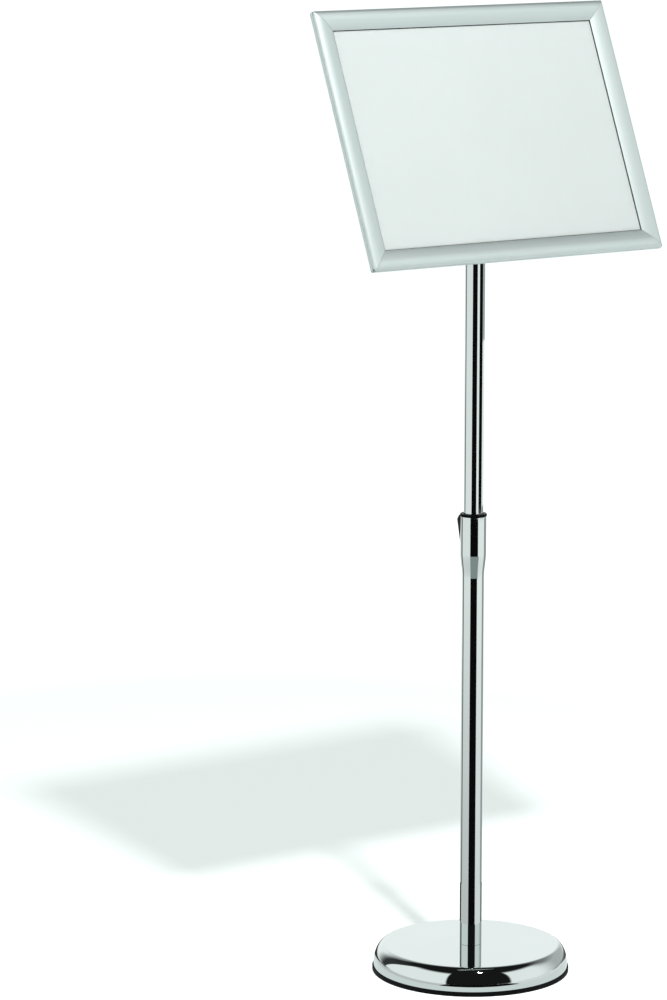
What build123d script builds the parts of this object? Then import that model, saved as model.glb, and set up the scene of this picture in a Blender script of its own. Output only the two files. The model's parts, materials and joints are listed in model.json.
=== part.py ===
from build123d import *
import os
from math import cos, sin, radians, degrees, sqrt, atan2

# Free-standing sign stand: weighted round base, telescopic pole with a press
# release lever, tilting and turning head, and a snap frame for a landscape sheet.
# Millimetres. +Z up, the sign faces -Y, the pole stands on the Z axis and
# z = 0 is the floor.

# ---------------------------------------------------------------- base
RING_R = 125.0          # rubber edge ring, outside radius
RING_H = 5.7            # rubber ring height that shows
COVER_R = 123.5         # pressed cover, outside radius
COVER_FLAT_R = 108.5    # radius of the flat top
COVER_Z0 = 8.7          # where the rim starts to curve in
BASE_H = 34.0           # height of the flat top
SHEET_T = 1.2           # cover sheet thickness
WEIGHT_R = 119.4        # cast weight radius
WEIGHT_Z0, WEIGHT_Z1 = 2.1, 17.0
BOSS_R = 30.0           # raised middle of the weight, under the cover
BOLT_R = 5.0            # M10 base bolt

# ---------------------------------------------------------------- pole
LOW_R = 14.0            # lower tube, 28 mm
LOW_IN_R = 12.8
HEAD_R = 16.5           # flared clamp head, 33 mm
HEAD_IN_R = 15.5
TAPER_Z0, TAPER_Z1 = 510.0, 540.0
LOW_TOP = 587.0
UP_R = 12.5             # upper tube, 25 mm
UP_IN_R = 11.3
UP_Z0 = 467.0
PIVOT_Z = 1057.0        # tilt axis height
UP_TOP = PIVOT_Z - 20.0
CLAMP_IN_R = 12.65
CLAMP_R = 15.4
CLAMP_Z0, CLAMP_Z1 = 541.5, 586.9
COLLAR_R = 17.0
COLLAR_H = 3.6

# ---------------------------------------------------------------- lever
LEVER_DEG = 124.5       # direction of the lever about the pole
LEVER_W = 9.0
SLOT_W = 9.6
PIN_R, PIN_LEN = 0.8, 11.2
PIN_X, PIN_Z = 13.45, 553.0

# ---------------------------------------------------------------- head
TILT_DEG = 22.6         # lean back from upright
BACK_H = 26.0           # tilt axis to the frame's back plane
TONGUE_W, TONGUE_R = 10.0, 9.0
EAR_IN, EAR_OUT = 6.0, 10.0
DISC_R = 22.0
FORK_H0, FORK_H1 = 19.3, 23.3
FRICTION_H1 = 24.3
PLATE_H1 = 27.3
PLATE_R = 38.0
M6_R = 3.0

# ---------------------------------------------------------------- snap frame
FRAME_W, FRAME_H = 450.0, 327.0
RAIL = 25.0
CORNER_R = 2.0
MITRE_GAP = 0.15
SHEET_W, SHEET_H = 420.0, 297.0      # A3 landscape
BEAD = (1.3, 6.0)
BEAD_R, SOCKET_R, HOOK_R = 1.2, 1.35, 2.1

os.makedirs("parts", exist_ok=True)


def save(shape, name):
    """One file per node."""
    solids = shape.solids()
    if len(solids) == 1:
        out = solids[0]
    else:
        out = Compound(children=list(solids))
    out.label = name
    export_step(out, f"parts/{name}.step")


def lathe(points):
    """Solid of revolution about Z from a closed (r, z) polygon."""
    wire = Polyline(*[(r, 0, z) for r, z in points], close=True)
    return revolve(make_face(wire), Axis.Z, 360)


def cyl(r, z0, z1):
    return Pos(0, 0, z0) * Cylinder(r, z1 - z0, align=(Align.CENTER, Align.CENTER, Align.MIN))


def tube(r1, r0, z0, z1):
    return cyl(r1, z0, z1) - cyl(r0, z0 - 1, z1 + 1)


def block(x0, x1, y0, y1, z0, z1):
    return Pos((x0 + x1) / 2, (y0 + y1) / 2, (z0 + z1) / 2) * Box(x1 - x0, y1 - y0, z1 - z0)


def xcyl(r, x0, x1, y=0.0, z=0.0):
    return Pos((x0 + x1) / 2, y, z) * (Rot(0, 90, 0) * Cylinder(r, x1 - x0))


def ycyl(r, y0, y1, x=0.0, z=0.0):
    return Pos(x, (y0 + y1) / 2, z) * (Rot(90, 0, 0) * Cylinder(r, y1 - y0))


def hexagon(af, z0, z1):
    sk = RegularPolygon(af / 2 / cos(radians(30)), 6)
    return Pos(0, 0, z0) * extrude(sk, amount=z1 - z0)


# ================================================================ base
# Pressed cover: flat top, an elliptical shoulder and a short upright rim.
def ellipse_pts(cr, cz, a, b, n=22):
    return [(cr + a * cos(radians(90) * i / n), cz + b * sin(radians(90) * i / n)) for i in range(n + 1)]


def spline_rz(pts, t0, t1):
    return Spline(*[(r, 0, z) for r, z in pts], tangents=[(t0[0], 0, t0[1]), (t1[0], 0, t1[1])])


def cover_solid():
    a, b = COVER_R - COVER_FLAT_R, BASE_H - COVER_Z0
    out_c = spline_rz(ellipse_pts(COVER_FLAT_R, COVER_Z0, a, b, 10), (0, 1), (-1, 0))
    in_c = spline_rz(ellipse_pts(COVER_FLAT_R, COVER_Z0, a - SHEET_T, b - SHEET_T, 10), (0, 1), (-1, 0))
    hole = BOLT_R + 0.2
    lines = [
        Line((COVER_R, 0, RING_H), (COVER_R, 0, COVER_Z0)),
        out_c,
        Line((COVER_FLAT_R, 0, BASE_H), (hole, 0, BASE_H)),
        Line((hole, 0, BASE_H), (hole, 0, BASE_H - SHEET_T)),
        Line((hole, 0, BASE_H - SHEET_T), (COVER_FLAT_R, 0, BASE_H - SHEET_T)),
        in_c,
        Line((COVER_R - SHEET_T, 0, COVER_Z0), (COVER_R - SHEET_T, 0, RING_H)),
        Line((COVER_R - SHEET_T, 0, RING_H), (COVER_R, 0, RING_H)),
    ]
    return revolve(make_face(Wire(Curve() + lines)), Axis.Z, 360)


save(cover_solid(), "base_cover")

# Rubber ring: the cover's edge sits on it and its inner lip grips the sheet.
save(lathe([(115.0, 0), (124.4, 0), (RING_R, 0.6), (RING_R, 5.1), (124.4, RING_H),
            (COVER_R - SHEET_T - 0.1, RING_H), (COVER_R - SHEET_T - 0.1, 8.4),
            (120.4, 8.4), (120.4, 2.05), (115.0, 2.05)]), "base_edge_ring")
save(tube(114.9, 16.0, 0, 2.05), "base_underside_pad")

# Cast weight with a raised boss under the cover and a counterbore below.
weight = lathe([(13.0, WEIGHT_Z0), (WEIGHT_R - 1, WEIGHT_Z0), (WEIGHT_R, WEIGHT_Z0 + 1),
                (WEIGHT_R, WEIGHT_Z1 - 2), (WEIGHT_R - 2, WEIGHT_Z1), (BOSS_R + 4, WEIGHT_Z1),
                (BOSS_R, WEIGHT_Z1 + 4), (BOSS_R, BASE_H - SHEET_T - 0.05),
                (BOLT_R + 0.2, BASE_H - SHEET_T - 0.05), (BOLT_R + 0.2, 14.0), (13.0, 14.0)])
save(weight, "base_weight")
save(tube(11.0, BOLT_R + 0.1, 12.0, 13.95), "base_washer")
bolt = hexagon(17.0, 5.6, 11.95) + cyl(BOLT_R, 11.0, 56.0)
save(bolt, "base_bolt")

# ================================================================ pole
save(lathe([(BOLT_R + 0.03, BASE_H + 0.02), (LOW_IN_R - 0.05, BASE_H + 0.02), (LOW_IN_R - 0.05, 61.0),
            (LOW_IN_R - 1.0, 62.0), (BOLT_R + 1, 62.0), (BOLT_R + 0.03, 61.0)]), "tube_foot_plug")


# Lower tube: drawn out to a wider clamp head near the top.
def lower_tube():
    r1, r0 = LOW_R, LOW_IN_R
    zb = BASE_H + 0.02
    outer = Spline((r1, 0, TAPER_Z0), (HEAD_R, 0, TAPER_Z1), tangents=[(0, 0, 1), (0, 0, 1)],
                   tangent_scalars=[1.1, 1.1])
    inner = Spline((HEAD_IN_R, 0, TAPER_Z1 + 0.5), (r0, 0, TAPER_Z0 - 1.0), tangents=[(0, 0, -1), (0, 0, -1)],
                   tangent_scalars=[1.1, 1.1])
    lines = [
        Line((r0, 0, zb), (r1 - 0.35, 0, zb)),
        Line((r1 - 0.35, 0, zb), (r1, 0, zb + 0.35)),
        Line((r1, 0, zb + 0.35), (r1, 0, TAPER_Z0)),
        outer,
        Line((HEAD_R, 0, TAPER_Z1), (HEAD_R, 0, LOW_TOP - 0.3)),
        Line((HEAD_R, 0, LOW_TOP - 0.3), (HEAD_R - 0.3, 0, LOW_TOP)),
        Line((HEAD_R - 0.3, 0, LOW_TOP), (HEAD_IN_R, 0, LOW_TOP)),
        Line((HEAD_IN_R, 0, LOW_TOP), (HEAD_IN_R, 0, TAPER_Z1 + 0.5)),
        inner,
        Line((r0, 0, TAPER_Z0 - 1.0), (r0, 0, zb)),
    ]
    body = revolve(make_face(Wire(Curve() + lines)), Axis.Z, 360)
    slot = Rot(0, 0, LEVER_DEG) * block(8, 20, -SLOT_W / 2, SLOT_W / 2, 549.0, LOW_TOP + 2)
    return body - slot


save(lower_tube(), "lower_tube")

# Guide sleeve inside the head, with the lever's slot and a thin web behind it.
clamp = tube(CLAMP_R, CLAMP_IN_R, CLAMP_Z0, CLAMP_Z1)
slot_low = block(5, 20, -SLOT_W / 2, SLOT_W / 2, CLAMP_Z0 - 1, 568.0)
slot_high = block(5, 20, -SLOT_W / 2, SLOT_W / 2, 567.0, CLAMP_Z1 + 1) - cyl(13.3, 560, 590)
clamp -= Rot(0, 0, LEVER_DEG) * (slot_low + slot_high + ycyl(PIN_R + 0.03, -9, 9, PIN_X, PIN_Z))
save(clamp, "guide_sleeve")

# Glossy collar that closes the head, notched over the lever.
ring = lathe([(CLAMP_IN_R, LOW_TOP), (COLLAR_R - 0.7, LOW_TOP), (COLLAR_R - 0.15, LOW_TOP + 0.5),
              (COLLAR_R, LOW_TOP + 1.3), (COLLAR_R - 0.1, LOW_TOP + 2.2), (COLLAR_R - 0.55, LOW_TOP + 3.0),
              (COLLAR_R - 1.3, LOW_TOP + COLLAR_H), (CLAMP_IN_R + 0.9, LOW_TOP + COLLAR_H),
              (CLAMP_IN_R + 0.25, LOW_TOP + COLLAR_H - 0.4), (CLAMP_IN_R, LOW_TOP + COLLAR_H - 1.0)])
ring -= Rot(0, 0, LEVER_DEG) * block(13.3, 20, -SLOT_W / 2, SLOT_W / 2, LOW_TOP - 1, LOW_TOP + 1.8)
save(ring, "collar_ring")

save(Rot(0, 0, LEVER_DEG) * ycyl(PIN_R, -PIN_LEN / 2, PIN_LEN / 2, PIN_X, PIN_Z), "lever_pin")

# Press lever: a wedge outside the head and a short tail below its pin.
wedge = Polyline((12.85, 0, 551.0), (12.85, 0, 555.0), (13.3, 0, 556.5), (16.9, 0, 586.0), (17.1, 0, 588.0),
                 (17.45, 0, 588.0), (18.0, 0, 587.55), (19.4, 0, 585.1), (20.0, 0, 583.6), (19.95, 0, 581.8),
                 (15.5, 0, 550.8), (15.2, 0, 550.0), (12.85, 0, 550.0), close=True)
lever = extrude(make_face(wedge), amount=LEVER_W / 2, both=True)
tail = Polyline((13.15, 0, 541.6), (13.65, 0, 541.6), (14.35, 0, 551.0), (13.15, 0, 551.0), close=True)
lever += extrude(make_face(tail), amount=3.2, both=True)
lever -= ycyl(PIN_R + 0.04, -9, 9, PIN_X, PIN_Z)
lever = Rot(0, 0, LEVER_DEG) * lever
save(lever, "release_lever")

# Friction pad bonded to the lever's tail, bearing on the upper tube.
pad = (tube(13.12, 12.6, 541.8, 549.2) & block(11, 15, -3.0, 3.0, 541, 550))
save(Rot(0, 0, LEVER_DEG) * pad, "brake_pad")

# Bent leaf spring that pushes the lever out.
leaf_o = Polyline((13.4, 0, 570.0), (13.6, 0, 570.0), (15.35, 0, 577.0), (13.6, 0, 584.0), (13.4, 0, 584.0),
                  (14.95, 0, 577.0), close=True)
leaf = extrude(make_face(leaf_o), amount=2.6, both=True)
save(Rot(0, 0, LEVER_DEG) * leaf, "lever_spring")

# Upper tube with its end plug; the guide bush below it slides in the lower tube.
up = tube(UP_R, UP_IN_R, UP_Z0, UP_TOP)
up -= xcyl(2.02, -20, 20, 0, UP_TOP - 17)
save(up, "upper_tube")
save(lathe([(8.05, UP_Z0), (UP_IN_R - 0.03, UP_Z0), (UP_IN_R - 0.03, UP_Z0 + 20), (8.05, UP_Z0 + 20)]), "tube_end_plug")
save(lathe([(0, UP_Z0 - 14), (11.6, UP_Z0 - 14), (12.72, UP_Z0 - 12.5), (12.72, UP_Z0 - 0.1), (8.0, UP_Z0 - 0.1),
            (8.0, UP_Z0 + 22.0), (0, UP_Z0 + 22.0)]), "lower_guide_bush")
# Retaining washer on the bush's spigot keeps the turning tube on it.
save(lathe([(0, UP_Z0 + 22.05), (10.6, UP_Z0 + 22.05), (10.6, UP_Z0 + 24.0), (0, UP_Z0 + 24.0)]), "bush_retaining_washer")

# ================================================================ head
P = PIVOT_Z
neck = cyl(UP_IN_R - 0.05, UP_TOP - 32, UP_TOP + 1) + lathe(
    [(0, UP_TOP), (UP_R, UP_TOP + 0.02), (UP_R, UP_TOP + 2.6), (UP_R - 0.8, UP_TOP + 3.4), (0, UP_TOP + 3.4)])
tongue = block(-TONGUE_W / 2, TONGUE_W / 2, -TONGUE_R, TONGUE_R, UP_TOP + 1, P) + xcyl(TONGUE_R, -TONGUE_W / 2, TONGUE_W / 2, 0, P)
neck = neck + tongue - xcyl(M6_R + 0.04, -20, 20, 0, P) - xcyl(2.02, -20, 20, 0, UP_TOP - 17)
save(neck, "neck_plug")
save(xcyl(2.0, -UP_R + 0.1, UP_R - 0.1, 0, UP_TOP - 17), "neck_cross_pin")

# Parts that lean with the sign are drawn upright about the tilt axis with the
# sign's normal along +Z, then turned.
HEAD = Pos(0, 0, P) * Rot(90 - TILT_DEG, 0, 0)


def ears():
    out = None
    for sgn in (-1, 1):
        x0, x1 = sorted((sgn * EAR_IN, sgn * EAR_OUT))
        e = xcyl(9.0, x0, x1) + block(x0, x1, -9.0, 9.0, 0, FORK_H0 + 1)
        e = e + block(x0, x1, -13.0, 13.0, FORK_H0 - 4, FORK_H0 + 1)
        out = e if out is None else out + e
    return out


fork = ears() + cyl(DISC_R, FORK_H0, FORK_H1)
fork = fork - xcyl(M6_R + 0.05, -20, 20) - cyl(M6_R + 0.05, 5, 40)
save(HEAD * fork, "tilt_fork")
wash = [xcyl(8.0, 5.05, 5.95) - xcyl(M6_R + 0.1, 0, 9), xcyl(8.0, -5.95, -5.05) - xcyl(M6_R + 0.1, -9, 0)]
save(HEAD * Compound(children=wash), "tilt_friction_washers")
hexh = Rot(0, 90, 0) * hexagon(10.0, 0, 4.0)
tbolt = Pos(-EAR_OUT - 4.05, 0, 0) * hexh + xcyl(M6_R, -EAR_OUT - 1.0, EAR_OUT + 7.0)
save(HEAD * tbolt, "tilt_bolt")
tnut = Pos(EAR_OUT + 0.05, 0, 0) * (Rot(0, 90, 0) * hexagon(10.0, 0, 5.5)) - xcyl(M6_R + 0.02, EAR_OUT - 1, EAR_OUT + 8)
save(HEAD * tnut, "tilt_nut")

# Turning joint: friction disc between the fork and the mounting plate.
save(HEAD * (cyl(DISC_R, FORK_H1 + 0.02, FRICTION_H1) - cyl(M6_R + 0.1, 20, 30)), "turn_friction_disc")
sbolt = cyl(7.0, PLATE_H1 - 1.4, PLATE_H1 - 0.1) + cyl(M6_R, 12.4, PLATE_H1 - 1.0)
save(HEAD * sbolt, "turn_bolt")
save(HEAD * (hexagon(10.0, 12.9, 17.9) - cyl(M6_R + 0.02, 12, 20)), "turn_nut")
save(HEAD * (tube(5.6, M6_R + 0.15, 17.95, FORK_H0 - 0.05)), "turn_spring_washer")

plate = cyl(PLATE_R, FRICTION_H1 + 0.05, PLATE_H1)
plate -= cyl(M6_R + 0.05, 20, 40) + cyl(7.2, PLATE_H1 - 1.5, PLATE_H1 + 1)
screws, holes = [], None
for k in range(4):
    a = radians(45 + 90 * k)
    x, y = 30 * cos(a), 30 * sin(a)
    h = Pos(x, y, 0) * (cyl(1.55, 24, 28) + Pos(0, 0, FRICTION_H1 + 0.05) * Cone(3.1, 1.55, 1.6, align=(Align.CENTER, Align.CENTER, Align.MIN)))
    holes = h if holes is None else holes + h
    s = Pos(x, y, 0) * (cyl(1.45, 24.6, 28.05) + Pos(0, 0, FRICTION_H1 + 0.07) * Cone(3.0, 1.45, 1.55, align=(Align.CENTER, Align.CENTER, Align.MIN)))
    screws.append(s)
save(HEAD * (plate - holes), "mount_plate")
save(HEAD * Compound(children=screws), "mount_screws")

# ================================================================ snap frame
# Local frame: X right, Y up the sign, Z out of the back plane.
PANEL = HEAD * Pos(0, 0, BACK_H)
CX, CT = BEAD


def pol(r, deg):
    return (CX + r * cos(radians(deg)), CT + r * sin(radians(deg)))


def yz(points_m):
    s, t = points_m
    return (0, s, t)


def rear_profile():
    a0, a1 = 250.0, 25.0
    i0, i1 = pol(SOCKET_R, a0), pol(SOCKET_R, a1)
    im = pol(SOCKET_R, -42.0)
    o1, o0 = pol(HOOK_R, a1), (CX, CT - HOOK_R)
    om = pol(HOOK_R, -32.0)
    w = SHEET_T
    lines = [
        Line(yz((0, 0)), yz((24.0, 0))),
        Line(yz((24.0, 0)), yz((24.0, w))),
        Line(yz((24.0, w)), yz((12.0, w))),
        Line(yz((12.0, w)), yz((12.0, 3.0))),
        Line(yz((12.0, 3.0)), yz((11.2, 3.0))),
        Line(yz((11.2, 3.0)), yz((11.2, w))),
        Line(yz((11.2, w)), yz((CX, w))),
        Line(yz((CX, w)), yz(o0)),
        ThreePointArc(yz(o0), yz(om), yz(o1)),
        Line(yz(o1), yz(i1)),
        ThreePointArc(yz(i1), yz(im), yz(i0)),
        Line(yz(i0), yz((0, 4.65))),
        Line(yz((0, 4.65)), yz((0, 0))),
    ]
    return make_face(Wire(Curve() + lines))


# Outer surface of the cover rail, from the hinge bead over the crest to the lip.
FRONT = [(0.34, 6.72), (1.5, 7.62), (3.5, 8.7), (6.25, 9.35), (9.0, 9.55), (12.5, 9.1),
         (15.6, 8.25), (18.75, 7.2), (22.0, 5.85), (25.0, 4.3)]
FRONT_T = 1.25


def front_inner():
    """FRONT moved inwards by the wall thickness, lip first."""
    pts = []
    for i in range(1, len(FRONT)):
        a = FRONT[i - 1]
        b = FRONT[min(i + 1, len(FRONT) - 1)]
        dx, dy = b[0] - a[0], b[1] - a[1]
        k = sqrt(dx * dx + dy * dy)
        pts.append((FRONT[i][0] + FRONT_T * dy / k, FRONT[i][1] - FRONT_T * dx / k))
    return pts[::-1]


def front_profile():
    inner = front_inner()
    arch = [
        Spline(*[yz(p) for p in FRONT]),
        Line(yz(FRONT[-1]), yz(inner[0])),
        Spline(*[yz(p) for p in inner]),
        Line(yz(inner[-1]), yz(FRONT[0])),
    ]
    f = make_face(Wire(Curve() + arch))
    c = Pos(0, CX, CT) * (Rot(0, 90, 0) * Circle(BEAD_R))
    return f + c


def seal_profile():
    """Soft black strip along the lip's cut edge, resting close on the film."""
    (ax, ay), (bx, by) = front_inner()[0], FRONT[-1]
    pts = [(ax + 0.04, ay - 0.02), (25.5, 3.08), (25.62, 3.4), (25.5, 4.0), (bx + 0.04, by - 0.04)]
    return make_face(Polyline(*[yz(p) for p in pts], close=True))


def rail(face, length, offset, quarter, gap, cut_bead=False):
    """Rail along one side, mitred and rounded at its ends.
    length: half length; offset: half distance across; quarter: 0 bottom, 1 right, 2 top, 3 left."""
    body = extrude(Pos(0, -offset, 0) * face, amount=length + 2, both=True, dir=(1, 0, 0))
    d = 26.0
    g = gap * sqrt(2)
    plan = make_face(Polyline((-length + g - 1, -offset - 1), (length - g + 1, -offset - 1),
                              (length - g - d, -offset + d), (-length + g + d, -offset + d), close=True))
    prism = Pos(0, 0, -1) * extrude(plan, amount=16)
    rounded = Pos(0, 0, -1) * extrude(RectangleRounded(2 * length, 2 * offset, CORNER_R), amount=16)
    body = body & prism & rounded
    if cut_bead:
        # the bead stops short of the corner so that each rail can turn alone
        for sgn in (-1, 1):
            x0, x1 = sorted((sgn * (length - 2.8), sgn * (length + 3)))
            body -= xcyl(1.65, x0, x1, -offset + CX, CT)
    return Rot(0, 0, 90 * quarter) * body


sides = {"bottom": (FRAME_W / 2, FRAME_H / 2, 0), "right": (FRAME_H / 2, FRAME_W / 2, 1),
         "top": (FRAME_W / 2, FRAME_H / 2, 2), "left": (FRAME_H / 2, FRAME_W / 2, 3)}
for name, (length, offset, quarter) in sides.items():
    rr = rail(rear_profile(), length, offset, quarter, 0.02)
    save(PANEL * rr, f"rear_rail_{name}")
    fr = rail(front_profile(), length, offset, quarter, MITRE_GAP, cut_bead=True)
    save(PANEL * fr, f"front_rail_{name}")
    save(PANEL * rail(seal_profile(), length, offset, quarter, MITRE_GAP), f"lip_seal_{name}")
    # pairs of bowed leaf springs in the rail's channel
    bow = [
        ThreePointArc((0, 4.0, 1.25), (0, 7.4, 3.6), (0, 10.8, 1.25)),
        Line((0, 10.8, 1.25), (0, 10.2, 1.25)),
        ThreePointArc((0, 10.2, 1.25), (0, 7.4, 3.1), (0, 4.6, 1.25)),
        Line((0, 4.6, 1.25), (0, 4.0, 1.25)),
    ]
    strip = extrude(make_face(Wire(Curve() + bow)), amount=15, both=True, dir=(1, 0, 0))
    pair = [Rot(0, 0, 90 * quarter) * (Pos(px, -offset, 0) * strip) for px in (-length * 0.5, length * 0.5)]
    save(PANEL * Compound(children=pair), f"rail_springs_{name}")

# L-shaped corner keys in the rear rails' channel.
keys = []
W2, H2 = FRAME_W / 2, FRAME_H / 2
for sx in (-1, 1):
    for sy in (-1, 1):
        leg1 = block(*sorted((sx * (W2 - 3.6), sx * (W2 - 46))), *sorted((sy * (H2 - 3.6), sy * (H2 - 10.0))), 1.25, 2.8)
        leg2 = block(*sorted((sx * (W2 - 3.6), sx * (W2 - 10.0))), *sorted((sy * (H2 - 3.6), sy * (H2 - 46))), 1.25, 2.8)
        keys.append(leg1 + leg2)
save(PANEL * Compound(children=keys), "corner_keys")

# Back panel, poster and cover film.
panel = block(-W2 + 12.2, W2 - 12.2, -H2 + 12.2, H2 - 12.2, 1.32, 2.2)
pilot = None
for k in range(4):
    a = radians(45 + 90 * k)
    h = Pos(30 * cos(a), 30 * sin(a), 0) * cyl(1.5, 0.5, 2.1)
    pilot = h if pilot is None else pilot + h
save(PANEL * (panel - pilot), "back_panel")
save(PANEL * block(-SHEET_W / 2, SHEET_W / 2, -SHEET_H / 2, SHEET_H / 2, 2.25, 2.5), "poster_sheet")
save(PANEL * block(-SHEET_W / 2, SHEET_W / 2, -SHEET_H / 2, SHEET_H / 2, 2.55, 2.95), "cover_film")
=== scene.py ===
import bpy
import bmesh
import json
import math
from mathutils import Vector, Matrix


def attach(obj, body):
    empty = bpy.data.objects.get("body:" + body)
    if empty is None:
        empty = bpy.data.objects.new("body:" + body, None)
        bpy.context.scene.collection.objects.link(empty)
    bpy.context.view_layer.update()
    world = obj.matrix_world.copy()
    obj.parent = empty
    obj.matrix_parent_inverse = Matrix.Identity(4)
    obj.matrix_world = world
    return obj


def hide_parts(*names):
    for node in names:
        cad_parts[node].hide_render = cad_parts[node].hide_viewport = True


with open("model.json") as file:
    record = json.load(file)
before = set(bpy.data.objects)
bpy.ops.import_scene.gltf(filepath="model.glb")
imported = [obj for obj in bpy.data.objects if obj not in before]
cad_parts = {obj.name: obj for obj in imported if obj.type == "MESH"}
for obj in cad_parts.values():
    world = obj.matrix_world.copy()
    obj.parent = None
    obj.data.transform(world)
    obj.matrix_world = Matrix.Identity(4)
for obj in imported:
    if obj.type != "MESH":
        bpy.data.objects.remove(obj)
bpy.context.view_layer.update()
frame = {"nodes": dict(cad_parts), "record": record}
scene = bpy.context.scene
scene.view_settings.view_transform = "Standard"
scene.view_settings.look = "None"

# ------------------------------------------------------------------ camera
az, dist, height = math.radians(38.05), 4.994, 1.4823
yaw, pitch, roll, focal_px = math.radians(2.01), math.radians(9.948), math.radians(0.06), 4051.6
head = az - yaw
fwd = Vector((math.sin(head) * math.cos(pitch), math.cos(head) * math.cos(pitch), -math.sin(pitch)))
rgt = Vector((math.cos(head), -math.sin(head), 0.0))
upv = rgt.cross(fwd)
r2 = rgt * math.cos(roll) + upv * math.sin(roll)
u2 = -rgt * math.sin(roll) + upv * math.cos(roll)
cam_data = bpy.data.cameras.new("camera")
cam = bpy.data.objects.new("camera", cam_data)
scene.collection.objects.link(cam)
m = Matrix((r2, u2, -fwd)).transposed().to_4x4()
m.translation = Vector((-dist * math.sin(az), -dist * math.cos(az), height))
cam.matrix_world = m
cam_data.sensor_width = 36.0
cam_data.lens = focal_px / 1000.0 * 36.0
cam_data.clip_start, cam_data.clip_end = 0.1, 200.0
cam_data.dof.use_dof = False
scene.camera = cam

# ------------------------------------------------------------------ sizes (m)
MM = 0.001
TILT = math.radians(22.6)
N = Vector((0, -math.cos(TILT), math.sin(TILT)))
U = Vector((0, math.sin(TILT), math.cos(TILT)))
PIVOT = Vector((0, 0, 1.057))
BACK = 26.0
LEVER = math.radians(124.5)
HEAD_M = Matrix((Vector((1, 0, 0)), U, N)).transposed().to_4x4()
HEAD_M.translation = PIVOT
PANEL_M = HEAD_M.copy()
PANEL_M.translation = PIVOT + N * BACK * MM


# ------------------------------------------------------------------ node helpers
def material(name):
    mat = bpy.data.materials.new(name)
    mat.use_nodes = True
    nt = mat.node_tree
    nt.nodes.clear()
    out = nt.nodes.new("ShaderNodeOutputMaterial")
    bsdf = nt.nodes.new("ShaderNodeBsdfPrincipled")
    nt.links.new(bsdf.outputs[0], out.inputs[0])
    return mat, nt, bsdf


def coords(nt, scale=(1, 1, 1), rot=(0, 0, 0)):
    tc = nt.nodes.new("ShaderNodeTexCoord")
    mp = nt.nodes.new("ShaderNodeMapping")
    mp.inputs["Scale"].default_value = scale
    mp.inputs["Rotation"].default_value = rot
    nt.links.new(tc.outputs["Object"], mp.inputs["Vector"])
    return mp.outputs["Vector"]


def noise(nt, vec, scale, detail=4.0, rough=0.5):
    n = nt.nodes.new("ShaderNodeTexNoise")
    n.inputs["Scale"].default_value = scale
    n.inputs["Detail"].default_value = detail
    n.inputs["Roughness"].default_value = rough
    nt.links.new(vec, n.inputs["Vector"])
    return n.outputs["Fac"]


def ramp(nt, fac, stops):
    r = nt.nodes.new("ShaderNodeValToRGB")
    el = r.color_ramp.elements
    while len(el) < len(stops):
        el.new(0.5)
    for e, (p, c) in zip(el, stops):
        e.position = p
        e.color = (*c, 1) if len(c) == 3 else c
    nt.links.new(fac, r.inputs["Fac"])
    return r.outputs["Color"]


def maprange(nt, fac, a, b, c, d):
    n = nt.nodes.new("ShaderNodeMapRange")
    n.inputs["From Min"].default_value = a
    n.inputs["From Max"].default_value = b
    n.inputs["To Min"].default_value = c
    n.inputs["To Max"].default_value = d
    nt.links.new(fac, n.inputs["Value"])
    return n.outputs["Result"]


def bump(nt, bsdf, height, strength, distance, extra=None):
    b = nt.nodes.new("ShaderNodeBump")
    b.inputs["Strength"].default_value = strength
    b.inputs["Distance"].default_value = distance
    nt.links.new(height, b.inputs["Height"])
    if extra is not None:
        nt.links.new(extra, b.inputs["Normal"])
    nt.links.new(b.outputs["Normal"], bsdf.inputs["Normal"])
    return b.outputs["Normal"]


# ------------------------------------------------------------------ materials
def chrome(name, tint=(0.64, 0.69, 0.68)):
    mat, nt, b = material(name)
    v = coords(nt)
    big = noise(nt, v, 14.0, 3.0, 0.55)
    lo = tuple(c * 0.985 for c in tint)
    nt.links.new(ramp(nt, big, [(0.35, lo), (0.65, tint)]), b.inputs["Base Color"])
    b.inputs["Metallic"].default_value = 1.0
    nt.links.new(maprange(nt, big, 0.3, 0.7, 0.018, 0.036), b.inputs["Roughness"])
    return mat


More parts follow.
